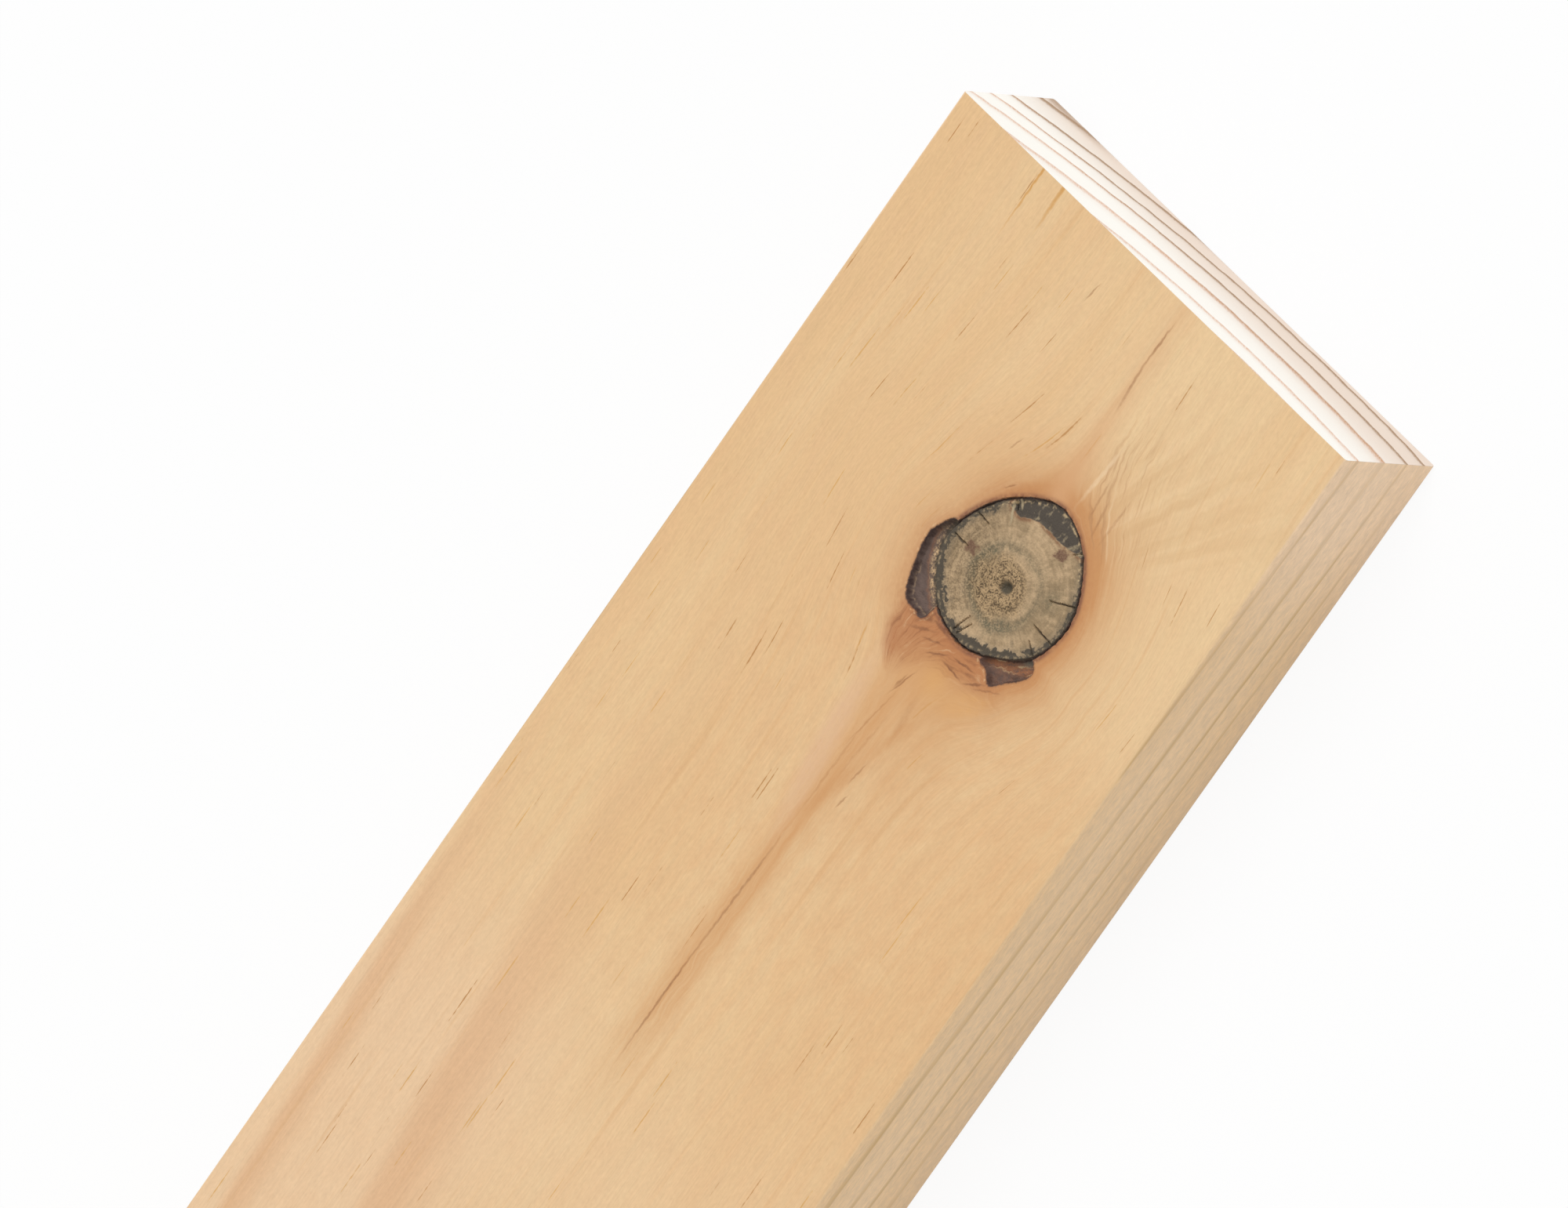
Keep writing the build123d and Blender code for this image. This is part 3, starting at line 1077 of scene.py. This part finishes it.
bark_face = pine.mix(outer * pine.step(torn, -0.3, 0.4, 0.0, 0.35), bark_face, bark_crust)
print("bark with a crust", crust_gap, "mm from the knot")

# %% [markdown]
# ## Knot, bark and wood side by side
# The three meet along ragged lines. The wood against the knot is scorched brown, the pockets have a dark
# lining and a pale lip, and a dark gap follows the knot's outline, because dead wood does not knit to what
# grows round it. The signed distances say which of the three a place belongs to.

# %% Set the knot and the bark into the wood
scorch_wood = srgb(112, 70, 56)
bark_edge = srgb(58, 41, 40)
wood_crust = srgb(224, 188, 142)
gap_dark = srgb(64, 48, 44)

is_knot = pine.step(knot_gap + dust * 0.2 + grit * 0.1, -0.10, 0.10, 1.0, 0.0)
solid = pine.mix(is_knot, near_wood, knot_face)
scorch = pine.bell(knot_gap - 0.35 + dust * 0.35, 0.38)
scorch = scorch * pine.step(twist + dust * 0.7, -0.6, 0.3, 0.25, 1.0)
solid = pine.mix(scorch * 0.75, solid, scorch_wood)
jagged = bark_gap + dust * 0.35 + grit * 0.10
is_bark = pine.step(jagged, -0.12, 0.12, 1.0, 0.0) * pine.step(knot_gap, -0.35, -0.05)
solid = pine.mix(is_bark, solid, bark_face)
off_knot = pine.step(knot_gap, 0.0, 0.5)
lining = pine.bell(jagged + 0.05, 0.22) * off_knot * pine.step(twist + dust * 0.5, -0.6, 0.2, 0.5, 1.0)
solid = pine.mix(lining * 0.85, solid, bark_edge)
lip = pine.bell(jagged - 0.45, 0.2) * pine.step(torn, 0.0, 0.4) * off_knot
solid = pine.mix(lip * 0.6, solid, wood_crust)
seam = pine.bell(knot_gap + 0.12 + dust * 0.30, 0.20)
seam = seam * pine.step(twist + dust * 0.6, -0.9, 0.1, 0.45, 1.0)
solid = pine.mix(seam * 0.92, solid, gap_dark)
print("knot and bark", len(pine.tree.nodes), "nodes so far")

# %% [markdown]
# ## The narrow edges
# The edges were sawn and planed with the rings nearly lying flat in them, so they show olive lines on a
# slightly greyer ground. Close to the knotty end they are fresher and a little pink. The same rings as on
# the wide faces are used, so that each line runs on round the corner.

# %% Colour the edges
edge_wood = srgb(234, 203, 164)
edge_deep = srgb(229, 194, 149)
edge_line = srgb(196, 160, 108)
edge_fresh = srgb(247, 218, 188)
fresh_starts, fresh_full = 40, 8

mottle = pine.noise(pine.vector(along / 1.6, across / 0.9, up / 0.7), 3.0, 0.7)
edge_face = pine.mix(pine.step(drift + mottle * 0.6, -0.6, 0.6), edge_wood, edge_deep)
fresh = pine.step(from_end, fresh_starts, fresh_full)
edge_face = pine.mix(fresh * 0.55, edge_face, edge_fresh)
edge_share = pine.step(up, 2.0, 8.0, 0.25, 0.62) * (1 - fresh * 0.3) + mottle * 0.5 + streak * 0.5
edge_face = pine.mix(late_thin * edge_share, edge_face, edge_line)
edge_face = pine.scale(edge_face, mottle * 0.26 + fibre * 0.10 + 1)
print("edges fresh over", fresh_starts, "mm")

# %% [markdown]
# ## The sawn ends
# The cross-cut ends are the palest of all: cut fibres scatter the light, and their colour is painted paler
# still, near white, as painted light for the sunlit end. Only the latewood draws arcs. They are orange
# near the upper face and greyer lower down, and one lower corner, by the floor, is darkened with painted
# shade.
# A fine noise shakes the year itself, so that the arcs look torn by the saw and not drawn with a pen.

# %% Colour the ends
# The end grain's pale colour, painted near white as painted light: the sunlit look of the end.
end_pale_and_lit = srgb(240, 237, 230)
end_low = srgb(224, 208, 194)
end_line = srgb(164, 134, 106)
end_orange = srgb(206, 152, 112)
saw_tear = 0.035

saw = pine.noise(pine.vector((across + up) / 0.25, (across - up) / 1.6, 3.0), 2.0)
end_face = pine.mix(pine.step(up + across * 0.1 + saw, 2.0, 20.0, 1.0, 0.0), end_pale_and_lit, end_low)
arc_tint = pine.mix(pine.step(up, 7.0, 19.0), end_line, end_orange)
end_face = pine.mix(late_soft * 0.12, end_face, arc_tint)
arc_share = pine.step(up, 22.0, 4.0, 0.58, 1.3) + saw * 0.7
arcs = latewood(year + saw * saw_tear, late_starts, late_peak)
end_face = pine.mix(arcs * arc_share, end_face, arc_tint)
# Painted shade: one lower corner of the end, next to the floor, is darkened towards the latewood colour.
painted_corner_shade = pine.step(across + saw * 4, 26.0, 46.0) * pine.step(up + saw, 3.5, 0.5)
end_face = pine.mix(painted_corner_shade * 0.85, end_face, end_line)
side_face = pine.mix(on_end, edge_face, end_face)
print("arcs torn by", round(saw_tear * ring_width, 2), "mm")

# %% [markdown]
# ## Gloss and small relief
# Bare planed pine has a soft sheen, duller on the rotten knot and on bark. Relief too small to press into
# the mesh, such as fibres and grit, is left to a Bump node. Clear wood, the knot with its bark, and the
# sawn sides get a skin each, and a place picks its skin: where a mix is wholly one skin, the renderer does
# not work out the other, so the clear wood does not pay for the knot.

# %% Finish the pine
shine = 0.3
wood_rough = 0.56
fibre_relief = 0.008
knot_relief = 0.06
heart_relief = 0.07
knot_skin_full, knot_skin_ends = 5.5, 7.0


def make_skin(colour, rough, height):
    """A shader of one colour and roughness, with small relief of a height in millimetres."""
    relief = {"Strength": 1.0, "Distance": mm, "Height": height}
    bump = pine.node("ShaderNodeBump", None, relief, "Normal")
    sockets = {"Base Color": colour, "Roughness": rough, "Normal": bump, "Specular IOR Level": shine}
    return pine.node("ShaderNodeBsdfPrincipled", None, sockets)


clear_rough = wood_rough + streak * 0.03
clear_height = fibre * fibre_relief + fleck * fibre_relief
clear_skin = make_skin(wood, clear_rough, clear_height)
decayed = pine.step(pine.math("MINIMUM", knot_gap, bark_gap), 0.3, -0.2)
knot_rough = clear_rough + is_knot * 0.16 + is_bark * 0.2
knot_height = clear_height + grit * decayed * (knot_relief + heart * heart_relief)
knot_skin = make_skin(solid, knot_rough, knot_height)
side_skin = make_skin(side_face, clear_rough + on_end * 0.12, clear_height)
near_knot = pine.step(beside, knot_skin_ends, knot_skin_full)
on_side = pine.math("MAXIMUM", on_edge, on_end)
wide_faces = pine.node("ShaderNodeMixShader", None, {0: near_knot, 1: clear_skin, 2: knot_skin})
board_skin = pine.node("ShaderNodeMixShader", None, {0: on_side, 1: wide_faces, 2: side_skin})
pine.node("ShaderNodeOutputMaterial", None, {"Surface": board_skin})
plank_mesh.materials.append(pine.owner)
print("pine sheet", len(pine.tree.nodes), "nodes")

# %% [markdown]
# ## Into place
# The board rides on the model's one body, in place of the plain packed board.

# %% Put the board in place and finish
plank = bpy.data.objects.new("board", plank_mesh)
bpy.context.collection.objects.link(plank)
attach(plank, "root")
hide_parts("plank")
print("board", len(plank_mesh.polygons), "faces")
